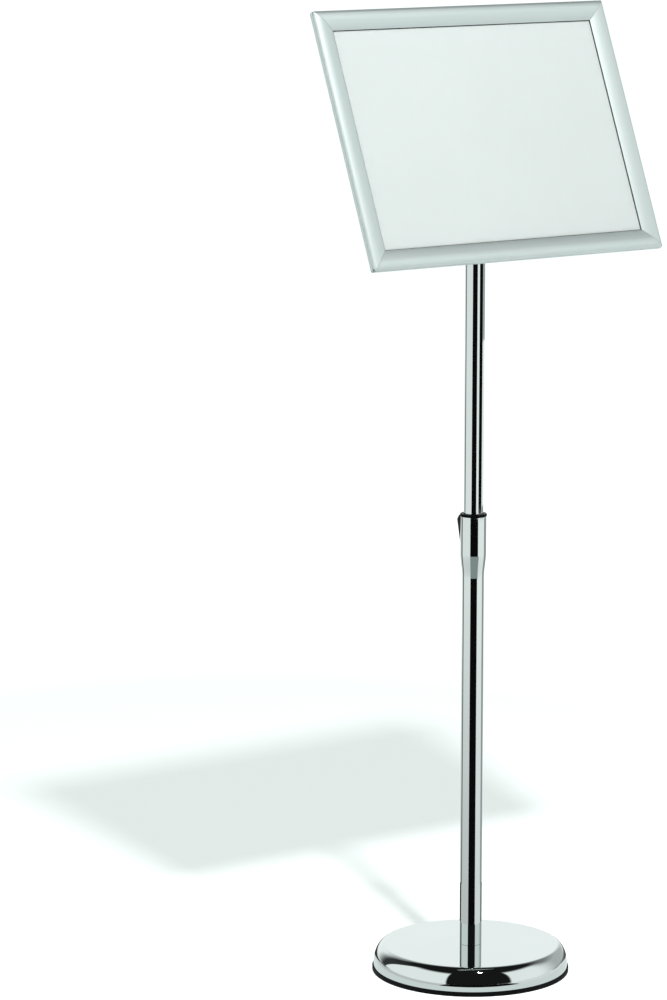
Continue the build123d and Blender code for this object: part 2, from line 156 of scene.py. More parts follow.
def anodised(name, axis, tint=(0.76, 0.84, 0.83), rough=0.58):
    """Satin anodised extrusion: very fine draw lines along the rail's length (axis 0 = X, 1 = up the sign)."""
    mat, nt, b = material(name)
    # object coordinates turned into the sign's own plane
    tc = nt.nodes.new("ShaderNodeTexCoord")
    mp = nt.nodes.new("ShaderNodeMapping")
    mp.vector_type = "POINT"
    mp.inputs["Rotation"].default_value = (-(math.pi / 2 - TILT), 0, 0)
    nt.links.new(tc.outputs["Object"], mp.inputs["Vector"])
    mp2 = nt.nodes.new("ShaderNodeMapping")
    mp2.inputs["Scale"].default_value = (6, 2600, 2600) if axis == 0 else (2600, 6, 2600)
    nt.links.new(mp.outputs["Vector"], mp2.inputs["Vector"])
    lines = noise(nt, mp2.outputs["Vector"], 1.0, 3.0, 0.65)
    grain = noise(nt, mp.outputs["Vector"], 5200.0, 2.0, 0.6)
    cloud = noise(nt, mp.outputs["Vector"], 9.0, 3.0, 0.5)
    lo = tuple(c * 0.955 for c in tint)
    hi = tuple(min(1, c * 1.02) for c in tint)
    nt.links.new(ramp(nt, lines, [(0.3, lo), (0.7, hi)]), b.inputs["Base Color"])
    b.inputs["Metallic"].default_value = 1.0
    mixr = nt.nodes.new("ShaderNodeMath")
    mixr.operation = "ADD"
    nt.links.new(maprange(nt, lines, 0.3, 0.7, rough - 0.03, rough + 0.03), mixr.inputs[0])
    nt.links.new(maprange(nt, cloud, 0.3, 0.7, -0.012, 0.012), mixr.inputs[1])
    nt.links.new(mixr.outputs[0], b.inputs["Roughness"])
    mixh = nt.nodes.new("ShaderNodeMath")
    mixh.operation = "MULTIPLY_ADD"
    nt.links.new(grain, mixh.inputs[0])
    mixh.inputs[1].default_value = 0.6
    nt.links.new(lines, mixh.inputs[2])
    bump(nt, b, mixh.outputs[0], 0.10, 0.00004)
    return mat


def plastic(name, col, rough, grain_scale=1800.0, grain=0.12, vary=0.12, coat=0.0, spec=0.5, dist=0.00004):
    mat, nt, b = material(name)
    v = coords(nt)
    cloud = noise(nt, v, 35.0, 4.0, 0.6)
    g = noise(nt, v, grain_scale, 3.0, 0.6)
    lo = tuple(max(0.0, c * (1 - vary)) for c in col)
    hi = tuple(min(1.0, c * (1 + vary)) for c in col)
    nt.links.new(ramp(nt, cloud, [(0.3, lo), (0.7, hi)]), b.inputs["Base Color"])
    nt.links.new(maprange(nt, g, 0.3, 0.7, max(0.02, rough - 0.04), rough + 0.04), b.inputs["Roughness"])
    b.inputs["Specular IOR Level"].default_value = spec
    if coat:
        b.inputs["Coat Weight"].default_value = coat
        b.inputs["Coat Roughness"].default_value = 0.05
    bump(nt, b, g, grain, dist)
    return mat


def metal(name, col, rough, scale=(400, 400, 400), vary=0.06, strength=0.08):
    mat, nt, b = material(name)
    v = coords(nt, scale)
    n = noise(nt, v, 1.0, 4.0, 0.6)
    c2 = noise(nt, coords(nt), 60.0, 3.0, 0.5)
    lo = tuple(c * (1 - vary) for c in col)
    hi = tuple(min(1, c * (1 + vary)) for c in col)
    nt.links.new(ramp(nt, c2, [(0.3, lo), (0.7, hi)]), b.inputs["Base Color"])
    b.inputs["Metallic"].default_value = 1.0
    nt.links.new(maprange(nt, n, 0.3, 0.7, rough - 0.05, rough + 0.06), b.inputs["Roughness"])
    bump(nt, b, n, strength, 0.00003)
    return mat


def paper(name):
    mat, nt, b = material(name)
    v = coords(nt)
    fib = noise(nt, v, 420.0, 6.0, 0.7)
    cloud = noise(nt, v, 5.0, 2.0, 0.5)
    mixf = nt.nodes.new("ShaderNodeMath")
    mixf.operation = "MULTIPLY_ADD"
    nt.links.new(fib, mixf.inputs[0])
    mixf.inputs[1].default_value = 0.35
    nt.links.new(cloud, mixf.inputs[2])
    nt.links.new(ramp(nt, mixf.outputs[0], [(0.45, (0.758, 0.792, 0.784)), (0.9, (0.782, 0.816, 0.808))]), b.inputs["Base Color"])
    b.inputs["Roughness"].default_value = 0.9
    b.inputs["Specular IOR Level"].default_value = 0.2
    bump(nt, b, fib, 0.05, 0.00003)
    return mat


def film(name):
    """Clear anti-glare film: mostly see-through with a fine matt surface."""
    mat, nt, b = material(name)
    v = coords(nt)
    g = noise(nt, v, 3500.0, 2.0, 0.6)
    cloud = noise(nt, v, 7.0, 2.0, 0.5)
    nt.links.new(ramp(nt, cloud, [(0.3, (0.86, 0.90, 0.89)), (0.7, (0.88, 0.92, 0.91))]), b.inputs["Base Color"])
    nt.links.new(maprange(nt, g, 0.3, 0.7, 0.30, 0.38), b.inputs["Roughness"])
    b.inputs["IOR"].default_value = 1.46
    b.inputs["Alpha"].default_value = 0.22
    bump(nt, b, g, 0.08, 0.00002)
    return mat


M = {}
M["chrome"] = chrome("chrome_plate")
M["anod_x"] = anodised("anodised_x", 0)
M["anod_y"] = anodised("anodised_y", 1)
M["rubber"] = plastic("rubber_black", (0.003, 0.0035, 0.004), 0.6, 900.0, 0.25, 0.25, spec=0.07)
M["gloss"] = plastic("collar_gloss_black", (0.003, 0.0035, 0.004), 0.26, 500.0, 0.02, 0.1, spec=0.03)
M["lever"] = plastic("lever_satin_black", (0.009, 0.0115, 0.012), 0.36, 1500.0, 0.15, 0.15, spec=0.3)
M["nylon"] = plastic("nylon_black", (0.02, 0.021, 0.022), 0.42, 1300.0, 0.15, 0.15)
M["powder"] = plastic("powder_coat_black", (0.017, 0.018, 0.019), 0.45, 1100.0, 0.55, 0.12, dist=0.00012)
M["back"] = plastic("back_panel_grey", (0.60, 0.63, 0.62), 0.5, 1400.0, 0.35, 0.03, dist=0.00008)
M["zinc"] = metal("zinc_plate", (0.62, 0.63, 0.62), 0.30)
M["steel"] = metal("bright_steel", (0.56, 0.57, 0.58), 0.22, (40, 900, 900))
M["iron"] = plastic("cast_iron_dipped", (0.03, 0.03, 0.03), 0.6, 420.0, 0.7, 0.25, dist=0.0003)
M["felt"] = plastic("pad_rubber", (0.012, 0.012, 0.013), 0.8, 1600.0, 0.6, 0.25, dist=0.0002, spec=0.2)
M["paper"] = paper("sheet_paper")
M["film"] = film("cover_film")

SLOTM = {"chrome": "chrome", "iron": "iron", "rubber": "rubber", "zinc": "zinc", "steel": "steel", "nylon": "nylon",
         "gloss_black": "gloss", "lever_black": "lever", "black_paint": "powder", "anodised": "anod_x",
         "back_plastic": "back", "paper": "paper", "film": "film"}
node_slot = {s["node"]: s["material_slot"] for s in frame["record"]["subparts"]}
for n, o in frame["nodes"].items():
    key = SLOTM[node_slot[n]]
    if n.endswith(("_left", "_right")) and key == "anod_x":
        key = "anod_y"
    if n == "base_underside_pad":
        key = "felt"
    o.data.materials.clear()
    o.data.materials.append(M[key])


# ------------------------------------------------------------------ mesh helpers
def finish_mesh(bm, name, mat, body, replaces=(), matrix=None, sharp=32.0):
    bmesh.ops.remove_doubles(bm, verts=bm.verts, dist=1e-7)
    bmesh.ops.recalc_face_normals(bm, faces=bm.faces)
    for f in bm.faces:
        f.smooth = True
    for e in bm.edges:
        if len(e.link_faces) == 2:
            e.smooth = e.calc_face_angle(0.0) < math.radians(sharp)
    if matrix is not None:
        bm.transform(matrix)
    me = bpy.data.meshes.new(name)
    bm.to_mesh(me)
    bm.free()
    o = bpy.data.objects.new(name, me)
    scene.collection.objects.link(o)
    me.materials.append(mat)
    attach(o, body)
    if replaces:
        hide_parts(*replaces)
    return o


def fillet(pts, radii, n=5, closed=True):
    """Rounds a polyline's corners. radii: one value, or one per point (0 keeps it sharp)."""
    out = []
    m_ = len(pts)
    rs = [radii] * m_ if isinstance(radii, (int, float)) else radii
    for i, p in enumerate(pts):
        r = rs[i]
        if r <= 0 or (not closed and i in (0, m_ - 1)):
            out.append(tuple(p))
            continue
        a, b, c = Vector(pts[i - 1]), Vector(p), Vector(pts[(i + 1) % m_])
        d1, d2 = (a - b), (c - b)
        l1, l2 = d1.length, d2.length
        d1.normalize(), d2.normalize()
        ang = d1.angle(d2)
        if ang > math.pi - 0.02:
            out.append(tuple(p))
            continue
        t = min(r / math.tan(ang / 2), l1 * 0.48, l2 * 0.48)
        rr = t * math.tan(ang / 2)
        p1, p2 = b + d1 * t, b + d2 * t
        centre = b + (d1 + d2).normalized() * (rr / math.sin(ang / 2))
        v1, v2 = p1 - centre, p2 - centre
        tot = v1.angle(v2)
        sgn = 1 if v1.x * v2.y - v1.y * v2.x > 0 else -1
        for k in range(n + 1):
            th = sgn * tot * k / n
            out.append((centre.x + v1.x * math.cos(th) - v1.y * math.sin(th), centre.y + v1.x * math.sin(th) + v1.y * math.cos(th)))
    return out


def arc3(p1, p2, p3, n):
    """Points of the arc through three points."""
    (x1, y1), (x2, y2), (x3, y3) = p1, p2, p3
    a = 2 * (x2 - x1); b = 2 * (y2 - y1); c = x2 * x2 + y2 * y2 - x1 * x1 - y1 * y1
    d = 2 * (x3 - x2); e = 2 * (y3 - y2); f = x3 * x3 + y3 * y3 - x2 * x2 - y2 * y2
    cx = (c * e - f * b) / (a * e - d * b); cy = (a * f - d * c) / (a * e - d * b)
    r = math.hypot(x1 - cx, y1 - cy)
    t1, t2, t3 = (math.atan2(y - cy, x - cx) for x, y in (p1, p2, p3))
    while t2 - t1 > math.pi: t2 -= 2 * math.pi
    while t2 - t1 < -math.pi: t2 += 2 * math.pi
    while t3 - t2 > math.pi: t3 -= 2 * math.pi
    while t3 - t2 < -math.pi: t3 += 2 * math.pi
    return [(cx + r * math.cos(t1 + (t3 - t1) * k / n), cy + r * math.sin(t1 + (t3 - t1) * k / n)) for k in range(n + 1)]


def lathe(name, profile, mat, body, replaces=(), segs=256, sharp=32.0, matrix=None):
    """Closed (r, z) profile in mm, turned about Z."""
    bm = bmesh.new()
    cols = []
    for j in range(segs):
        t = 2 * math.pi * j / segs
        c, s = math.cos(t), math.sin(t)
        cols.append([bm.verts.new((r * c * MM, r * s * MM, z * MM)) for r, z in profile])
    k = len(profile)
    for j in range(segs):
        a, b = cols[j], cols[(j + 1) % segs]
        for i in range(k):
            i2 = (i + 1) % k
            if profile[i][0] < 1e-6 and profile[i2][0] < 1e-6:
                continue
            bm.faces.new((a[i], b[i], b[i2], a[i2]))
    return finish_mesh(bm, name, mat, body, replaces, matrix, sharp)


# ------------------------------------------------------------------ base
FLAT_R, COVER_R, Z0, TOPZ, RING_H, T = 108.5, 123.5, 8.7, 34.0, 5.7, 1.2


def shoulder(a, b, n):
    return [(FLAT_R + a * math.cos(math.pi / 2 * i / n), Z0 + b * math.sin(math.pi / 2 * i / n)) for i in range(n + 1)]


n_sh = 72
prof = [(COVER_R - T + 0.25, RING_H), (COVER_R - 0.25, RING_H), (COVER_R, RING_H + 0.25)]
prof += shoulder(COVER_R - FLAT_R, TOPZ - Z0, n_sh)
prof += [(100, TOPZ), (80, TOPZ), (50, TOPZ), (20, TOPZ), (5.2, TOPZ), (5.2, TOPZ - T)]
prof += [(60, TOPZ - T)]
prof += list(reversed(shoulder(COVER_R - FLAT_R - T, TOPZ - Z0 - T, 24)))
prof += [(COVER_R - T, RING_H + 0.25)]
lathe("base_cover_pressing", prof, M["chrome"], "root", ("base_cover",), segs=384)

ring = fillet([(115.0, 0), (RING_H and 125.0, 0), (125.0, 5.7), (122.2, 5.7), (122.2, 8.4), (120.4, 8.4), (120.4, 2.05), (115.0, 2.05)],
              [0, 0.9, 0.7, 0, 0.3, 0.3, 0, 0], 6)
lathe("base_edge_moulding", ring, M["rubber"], "root", ("base_edge_ring",), segs=256)


# ------------------------------------------------------------------ tubes
def smoothstep(t):
    t = min(1.0, max(0.0, t))
    return t * t * (3 - 2 * t)


def tube_rows(rows, name, mat, body, replaces, window=None, segs=192):
    """rows: (z, outer r, inner r) from bottom to top, closed at both ends. window: (angle, half angle, z0) cut open to the top."""
    th = [2 * math.pi * j / segs for j in range(segs)]
    if window:
        wa, wh, wz = window
        span = 2 * math.pi - 2 * wh
        th = [wa + wh + span * j / segs for j in range(segs + 1)]
        th += [wa - wh + 2 * wh * j / 12 for j in range(1, 12)]
    bm = bmesh.new()
    cols = [([bm.verts.new((ro * math.cos(t) * MM, ro * math.sin(t) * MM, z * MM)) for z, ro, ri in rows],
             [bm.verts.new((ri * math.cos(t) * MM, ri * math.sin(t) * MM, z * MM)) for z, ro, ri in rows]) for t in th]
    nc, nr = len(th), len(rows)
    iw = nr
    if window:
        iw = next(i for i, r in enumerate(rows) if r[0] >= window[2] - 1e-6)

    def cut(j, i):
        return bool(window) and j >= segs and i >= iw

    for j in range(nc):
        a, b = cols[j], cols[(j + 1) % nc]
        for i in range(nr - 1):
            if cut(j, i):
                continue
            bm.faces.new((a[0][i], b[0][i], b[0][i + 1], a[0][i + 1]))
            bm.faces.new((a[1][i], a[1][i + 1], b[1][i + 1], b[1][i]))
        bm.faces.new((a[0][0], a[1][0], b[1][0], b[0][0]))
        if not (window and j >= segs):
            bm.faces.new((a[0][-1], b[0][-1], b[1][-1], a[1][-1]))
        else:
            bm.faces.new((a[0][iw], b[0][iw], b[1][iw], a[1][iw]))
    if window:
        for j in (0, segs):
            c = cols[j]
            for i in range(iw, nr - 1):
                bm.faces.new((c[0][i], c[0][i + 1], c[1][i + 1], c[1][i]))
    return finish_mesh(bm, name, mat, body, replaces)


# straight wall, drawn-out taper, clamp head; tiny rounding at both ends
rows = [(34.02, 13.65, 12.9), (34.06, 13.8, 12.8), (34.2, 13.95, 12.8), (34.42, 14.0, 12.8)]
rows += [(z, 14.0, 12.8) for z in (34.5, 34.7, 35.2, 37, 42, 60, 120, 200, 300, 400, 480, 500, 506, 508.5, 509.3, 509.8)]
for k in range(0, 49):
    z = 510 + 30.0 * k / 48
    s = smoothstep((z - 510) / 30.0)
    rows.append((z, 14.0 + 2.5 * s, 12.8 + 2.7 * smoothstep((z - 509) / 31.5)))
rows += [(540.5, 16.5, 15.5), (542, 16.5, 15.5), (545, 16.5, 15.5), (549.0, 16.5, 15.5), (555, 16.5, 15.5), (570, 16.5, 15.5), (580, 16.5, 15.5), (585, 16.5, 15.5), (586.0, 16.5, 15.5), (586.3, 16.5, 15.5), (586.4, 16.5, 15.5)]
rows += [(586.75, 16.47, 15.5), (586.93, 16.36, 15.5), (587.0, 16.2, 15.6)]
tube_rows(rows, "lower_tube_drawn", M["chrome"], "root", ("lower_tube",),
          window=(LEVER, math.asin(4.8 / 16.5), 549.0))
rows = [(467.0, 12.3, 11.4), (467.06, 12.42, 11.3), (467.3, 12.5, 11.3)]
rows += [(z, 12.5, 11.3) for z in (467.4, 467.6, 468.2, 470, 478, 500, 560, 620, 700, 800, 900, 1000, 1020, 1032, 1035.5, 1036.3, 1036.6)]
rows += [(1036.7, 12.5, 11.3), (1036.94, 12.42, 11.3), (1037.0, 12.3, 11.4)]
tube_rows(rows, "upper_tube_drawn", M["chrome"], "mast", ("upper_tube",))

# ------------------------------------------------------------------ collar ring, notched over the lever
ringp = fillet([(12.65, 587.0), (17.0, 587.0), (17.0, 590.6), (12.65, 590.6)], [0, 0.9, 1.5, 0.7], 10)
bm = bmesh.new()
segs = 192
cols = []
for j in range(segs):
    t = 2 * math.pi * j / segs
    cols.append([bm.verts.new((r * math.cos(t) * MM, r * math.sin(t) * MM, z * MM)) for r, z in ringp])
for j in range(segs):
    a, b = cols[j], cols[(j + 1) % segs]
    for i in range(len(ringp)):
        i2 = (i + 1) % len(ringp)
        bm.faces.new((a[i], b[i], b[i2], a[i2]))
bmesh.ops.recalc_face_normals(bm, faces=bm.faces)
me = bpy.data.meshes.new("collar_tmp")
bm.to_mesh(me); bm.free()
collar = bpy.data.objects.new("collar_tmp", me)
scene.collection.objects.link(collar)
bm = bmesh.new()
bmesh.ops.create_cube(bm, size=1.0, matrix=Matrix.Rotation(LEVER, 4, "Z") @ Matrix.Translation((0.01665, 0, 0.5874)) @ Matrix.Diagonal((0.0067, 0.0096, 0.0028, 1)))
me = bpy.data.meshes.new("cut_tmp")
bm.to_mesh(me); bm.free()
cutter = bpy.data.objects.new("cut_tmp", me)
scene.collection.objects.link(cutter)
mod = collar.modifiers.new("cut", "BOOLEAN")
mod.operation, mod.solver, mod.object = "DIFFERENCE", "EXACT", cutter
bpy.context.view_layer.update()
done = bpy.data.meshes.new_from_object(collar.evaluated_get(bpy.context.evaluated_depsgraph_get()))
bm = bmesh.new(); bm.from_mesh(done)
for o in (collar, cutter):
    bpy.data.objects.remove(o)
finish_mesh(bm, "collar_moulding", M["gloss"], "root", ("collar_ring",), sharp=35)


# ------------------------------------------------------------------ lever
def prism(outline, half, matrix=None, axis_rows=9, crown=0.0):
    """Outline in (x, z) mm, thickness along y from -half to +half."""
    bm = bmesh.new()
    a = [bm.verts.new((x * MM, -half * MM, z * MM)) for x, z in outline]
    b = [bm.verts.new((x * MM, half * MM, z * MM)) for x, z in outline]
    bm.faces.new(a); bm.faces.new(list(reversed(b)))
    for i in range(len(outline)):
        j = (i + 1) % len(outline)
        bm.faces.new((a[j], a[i], b[i], b[j]))
    return bm


outline = fillet([(12.85, 551.0), (12.85, 555.0), (13.3, 556.5), (16.9, 586.0), (17.1, 588.0), (17.5, 588.0), (20.05, 583.0), (15.45, 550.0), (12.85, 550.0)],
                 [0, 0, 0, 0, 0.2, 0.6, 1.4, 0.4, 0.1], 8)
bm = prism(outline, 4.5)
bmesh.ops.recalc_face_normals(bm, faces=bm.faces)
rim = [e for e in bm.edges if len(e.link_faces) == 2 and e.calc_face_angle(0) > math.radians(60) and abs(abs(e.verts[0].co.y) - 0.0045) < 1e-6 and abs(abs(e.verts[1].co.y) - 0.0045) < 1e-6]
bmesh.ops.bevel(bm, geom=rim, offset=0.0006, offset_type="OFFSET", segments=4, profile=0.5, affect="EDGES", clamp_overlap=True)
LM = Matrix.Rotation(LEVER, 4, "Z")
tail = prism(fillet([(13.15, 541.6), (13.65, 541.6), (14.35, 551.0), (13.15, 551.0)], 0.15, 3), 3.2)
tmp = bpy.data.meshes.new("tail_tmp"); tail.to_mesh(tmp); tail.free(); bm.from_mesh(tmp); bpy.data.meshes.remove(tmp)
finish_mesh(bm, "release_lever_moulding", M["lever"], "lever", ("release_lever",), matrix=LM, sharp=40)

# ------------------------------------------------------------------ snap frame rails
W2, H2, CORNER = 225.0, 163.5, 2.0
CX, CT = 1.3, 6.0


def pol(r, deg):
    return (CX + r * math.cos(math.radians(deg)), CT + r * math.sin(math.radians(deg)))


FRONT = [(0.34, 6.72), (1.5, 7.62), (3.5, 8.7), (6.25, 9.35), (9.0, 9.55), (12.5, 9.1), (15.6, 8.25), (18.75, 7.2), (22.0, 5.85), (25.0, 4.3)]
FRONT_T = 1.25


def smooth_line(pts, per=8):
    """Catmull-Rom curve through the points."""
    out = []
    n = len(pts)
    for i in range(n - 1):
        p0 = pts[i - 1] if i else (2 * pts[0][0] - pts[1][0], 2 * pts[0][1] - pts[1][1])
        p1, p2 = pts[i], pts[i + 1]
        p3 = pts[i + 2] if i + 2 < n else (2 * p2[0] - p1[0], 2 * p2[1] - p1[1])
        for k in range(per):
            t = k / per
            out.append(tuple(0.5 * (2 * p1[c] + (p2[c] - p0[c]) * t + (2 * p0[c] - 5 * p1[c] + 4 * p2[c] - p3[c]) * t * t + (3 * p1[c] - p0[c] - 3 * p2[c] + p3[c]) * t ** 3) for c in (0, 1)))
    out.append(tuple(pts[-1]))
    return out


def front_outline():
    outer = smooth_line(FRONT, 8)
    inner = []
    for i in range(1, len(outer)):
        a, b = outer[i - 1], outer[min(i + 1, len(outer) - 1)]
        dx, dy = b[0] - a[0], b[1] - a[1]
        k = math.hypot(dx, dy)
        inner.append((outer[i][0] + FRONT_T * dy / k, outer[i][1] - FRONT_T * dx / k))
    inner = [p for p in inner[::-1] if math.hypot(p[0] - CX, p[1] - CT) > 1.28]
    lip = fillet([outer[-2], outer[-1], inner[0], inner[1]], [0, 0.35, 0.2, 0], 6, closed=False)
    pts = outer[:-1] + lip[1:-1] + inner[1:]
    # then round the underside of the hinge bead back to the start
    a1 = math.degrees(math.atan2(6.72 - CT, 0.34 - CX))
    last = inner[-1]
    a0 = math.degrees(math.atan2(last[1] - CT, last[0] - CX))
    k = 24
    pts += [pol(1.2, a0 - (a0 + 360 - a1) * i / k) for i in range(0, k)]
    return pts


# black strip along the foot of each front lip: partly a rubber seal, partly painted shade, its black standing in for
# the shadow in the gap under the lip
def seal_outline():
    outer = FRONT[-1]
    dx, dy = FRONT[-1][0] - FRONT[-2][0], FRONT[-1][1] - FRONT[-2][1]
    k = math.hypot(dx, dy)
    foot = (outer[0] + FRONT_T * dy / k, outer[1] - FRONT_T * dx / k)
    return fillet([(foot[0] + 0.04, foot[1] - 0.02), (25.5, 3.08), (25.62, 3.4), (25.5, 4.0), (outer[0] + 0.04, outer[1] - 0.04)],
                  [0.05, 0.2, 0.1, 0.2, 0.05], 4)


def rear_outline():
    o0 = (CX, CT - 2.1)
    pts = [(0.35, 0), (12, 0), (23.7, 0), (24.0, 0.3), (24.0, 0.9), (23.7, 1.2), (12.0, 1.2), (12.0, 2.85), (11.85, 3.0), (11.35, 3.0), (11.2, 2.85), (11.2, 1.2), (CX, 1.2)]
    pts += [pol(2.1, -90 + (25 + 90) * i / 12) for i in range(13)]
    pts += [pol(1.35, 25 - (25 + 110) * i / 14) for i in range(15)]
    pts += [(0.2, 4.66), (0.0, 4.45), (0.0, 0.35), (0.1, 0.1)]
    return pts


def rail_piece(name, outline, length, offset, quarter, gap, mat, body, replaces, short=0.0):
    """The profile run along one side of the sign and mitred, its outer corners rounded in plan."""
    rot = Matrix.Rotation(math.pi / 2 * quarter, 4, "Z")
    bm = bmesh.new()

    def inset(s):
        q = CORNER - s
        rnd = CORNER - math.sqrt(max(0.0, CORNER ** 2 - q * q)) if s < CORNER else 0.0
        return max(s + gap, rnd)

    def end(s, t):
        # the hinge bead is cut short at the corner so that each rail can turn alone
        if short and s < 2.9 and t < 7.1:
            return max(inset(s), short * min(1.0, (7.1 - t) / 0.35))
        return inset(s)

    fr = [-1.0, -0.985, 0.985, 1.0]
    loops = []
    for f in fr:
        loops.append([bm.verts.new((f * (length - end(s, t)) * MM if abs(f) == 1.0 else f * (length - 26.0) * MM, (-offset + s) * MM, t * MM)) for s, t in outline])
    n = len(outline)
    for a, b in zip(loops, loops[1:]):
        for i in range(n):
            j = (i + 1) % n
            bm.faces.new((a[i], a[j], b[j], b[i]))
    bm.faces.new(loops[0])
    bm.faces.new(list(reversed(loops[-1])))
    return finish_mesh(bm, name, mat, body, replaces, matrix=PANEL_M @ rot, sharp=28)


sides = {"bottom": (W2, H2, 0, "anod_x"), "right": (H2, W2, 1, "anod_y"), "top": (W2, H2, 2, "anod_x"), "left": (H2, W2, 3, "anod_y")}
fo, ro, so = front_outline(), rear_outline(), seal_outline()
for s, (length, offset, quarter, mk) in sides.items():
    rail_piece(f"front_rail_{s}_extrusion", fo, length, offset, quarter, 0.17, M[mk], f"rail_{s}", (f"front_rail_{s}",), short=2.9)
    rail_piece(f"rear_rail_{s}_extrusion", ro, length, offset, quarter, 0.02, M[mk], "panel", (f"rear_rail_{s}",))
    # the black lip strip also paints the shadow gap under each lip
    rail_piece(f"lip_seal_{s}_strip", so, length, offset, quarter, 0.17, M["rubber"], f"rail_{s}", (f"lip_seal_{s}",))

# ------------------------------------------------------------------ studio
KEY, AMBIENT, FLOOR_EMIT, WALL = 35.0, 0.32, 0.53, 1.13
CAMDIR = math.atan2(-math.cos(az), -math.sin(az))   # heading from the pole to the camera
STAGE = []


def stage_mesh(name, verts, faces, mat):
    me = bpy.data.meshes.new(name)
    me.from_pydata(verts, [], faces)
    o = bpy.data.objects.new(name, me)
    scene.collection.objects.link(o)
    me.materials.append(mat)
    STAGE.append(o)
    return o


# pale sweep of paper underfoot; it also glows, evenly near the stand and more strongly away from the sign's shadow, so
# that it burns out to white there
fmat = bpy.data.materials.new("studio_floor")
fmat.use_nodes = True
nt = fmat.node_tree
nt.nodes.clear()
out = nt.nodes.new("ShaderNodeOutputMaterial")
add = nt.nodes.new("ShaderNodeAddShader")
dif = nt.nodes.new("ShaderNodeBsdfDiffuse")
dif.inputs["Color"].default_value = (0.88, 0.92, 0.905, 1)
emi = nt.nodes.new("ShaderNodeEmission")
emi.inputs["Color"].default_value = (0.92, 1.0, 0.978, 1)
tc = nt.nodes.new("ShaderNodeTexCoord")
ln = nt.nodes.new("ShaderNodeVectorMath")
ln.operation = "LENGTH"
mp = nt.nodes.new("ShaderNodeMapping")
mp.inputs["Location"].default_value = (-0.32, -0.90, 0)
nt.links.new(tc.outputs["Object"], mp.inputs["Vector"])
nt.links.new(mp.outputs["Vector"], ln.inputs[0])
nt.links.new(maprange(nt, ln.outputs["Value"], 0.75, 1.40, FLOOR_EMIT, FLOOR_EMIT + 0.30), emi.inputs["Strength"])
nt.links.new(dif.outputs[0], add.inputs[0])
nt.links.new(emi.outputs[0], add.inputs[1])
# in reflections the paper is swapped for a painted glow: darker towards the stand as painted shade, and darker on its
# left than on its right
ln2 = nt.nodes.new("ShaderNodeVectorMath")
ln2.operation = "LENGTH"
nt.links.new(tc.outputs["Object"], ln2.inputs[0])
sd = nt.nodes.new("ShaderNodeVectorMath")
sd.operation = "DOT_PRODUCT"
nt.links.new(tc.outputs["Object"], sd.inputs[0])
sd.inputs[1].default_value = (-math.sin(CAMDIR), math.cos(CAMDIR), 0.0)
dv = nt.nodes.new("ShaderNodeMath")
dv.operation = "DIVIDE"
nt.links.new(sd.outputs["Value"], dv.inputs[0])
nt.links.new(ln2.outputs["Value"], dv.inputs[1])
mixl = nt.nodes.new("ShaderNodeMix")
nt.links.new(maprange(nt, dv.outputs[0], -0.25, 0.35, 0.0, 1.0), mixl.inputs[0])
nt.links.new(maprange(nt, ln2.outputs["Value"], 0.20, 2.5, 0.72, 1.05), mixl.inputs[2])
nt.links.new(maprange(nt, ln2.outputs["Value"], 0.20, 2.5, 0.95, 1.14), mixl.inputs[3])
floor_gloss_painted_glow = nt.nodes.new("ShaderNodeEmission")
floor_gloss_painted_glow.inputs["Color"].default_value = (0.97, 1.0, 0.99, 1)
nt.links.new(mixl.outputs[0], floor_gloss_painted_glow.inputs["Strength"])
lpf = nt.nodes.new("ShaderNodeLightPath")
mxf = nt.nodes.new("ShaderNodeMixShader")
nt.links.new(lpf.outputs["Is Glossy Ray"], mxf.inputs[0])
nt.links.new(add.outputs[0], mxf.inputs[1])
nt.links.new(floor_gloss_painted_glow.outputs[0], mxf.inputs[2])
nt.links.new(mxf.outputs[0], out.inputs[0])
F = 60.0
floor = stage_mesh("floor", [(-F, -F, 0), (F, -F, 0), (F, F, 0), (-F, F, 0)], [(0, 1, 2, 3)], fmat)

def glossy_only(o):
    for attr in ("visible_camera", "visible_diffuse", "visible_transmission", "visible_volume_scatter", "visible_shadow"):
        setattr(o, attr, False)
    o.visible_glossy = True


def emitter(name, level, tint=(1, 1, 1)):
    mat = bpy.data.materials.new(name)
    mat.use_nodes = True
    nt = mat.node_tree
    nt.nodes.clear()
    out = nt.nodes.new("ShaderNodeOutputMaterial")
    e = nt.nodes.new("ShaderNodeEmission")
    e.inputs["Color"].default_value = (*[level * c for c in tint], 1)
    nt.links.new(e.outputs[0], out.inputs[0])
    return mat


def card(name, radius, a0, a1, z0, z1, level, tint=(1, 1, 1)):
    """Upright curved glowing card about the pole, seen only in reflections, where it paints a reflected band. Angles
    in degrees to the camera's right.
    """
    n = max(2, int(abs(a1 - a0) / 3))
    vs, fs = [], []
    for i in range(n + 1):
        t = CAMDIR + math.radians(a0 + (a1 - a0) * i / n)
        vs += [(radius * math.cos(t), radius * math.sin(t), z0), (radius * math.cos(t), radius * math.sin(t), z1)]
    for i in range(n):
        fs.append((2 * i, 2 * i + 2, 2 * i + 3, 2 * i + 1))
    o = stage_mesh(name, vs, fs, emitter(name, level, tint))
    glossy_only(o)
    return o


def ground(name, a0, a1, r0, r1, level, tint=(1, 1, 1), z=0.0008):
    """Glowing patch lying on the floor, seen only in reflections, where its level paints a dark band for low levels
    and a light band for high ones.
    """
    n = max(2, int(abs(a1 - a0) / 3))
    vs, fs = [], []
    for i in range(n + 1):
        t = CAMDIR + math.radians(a0 + (a1 - a0) * i / n)
        vs += [(r0 * math.cos(t), r0 * math.sin(t), z), (r1 * math.cos(t), r1 * math.sin(t), z)]
    for i in range(n):
        fs.append((2 * i, 2 * i + 1, 2 * i + 3, 2 * i + 2))
    o = stage_mesh(name, vs, fs, emitter(name, level, tint))
    glossy_only(o)
    return o
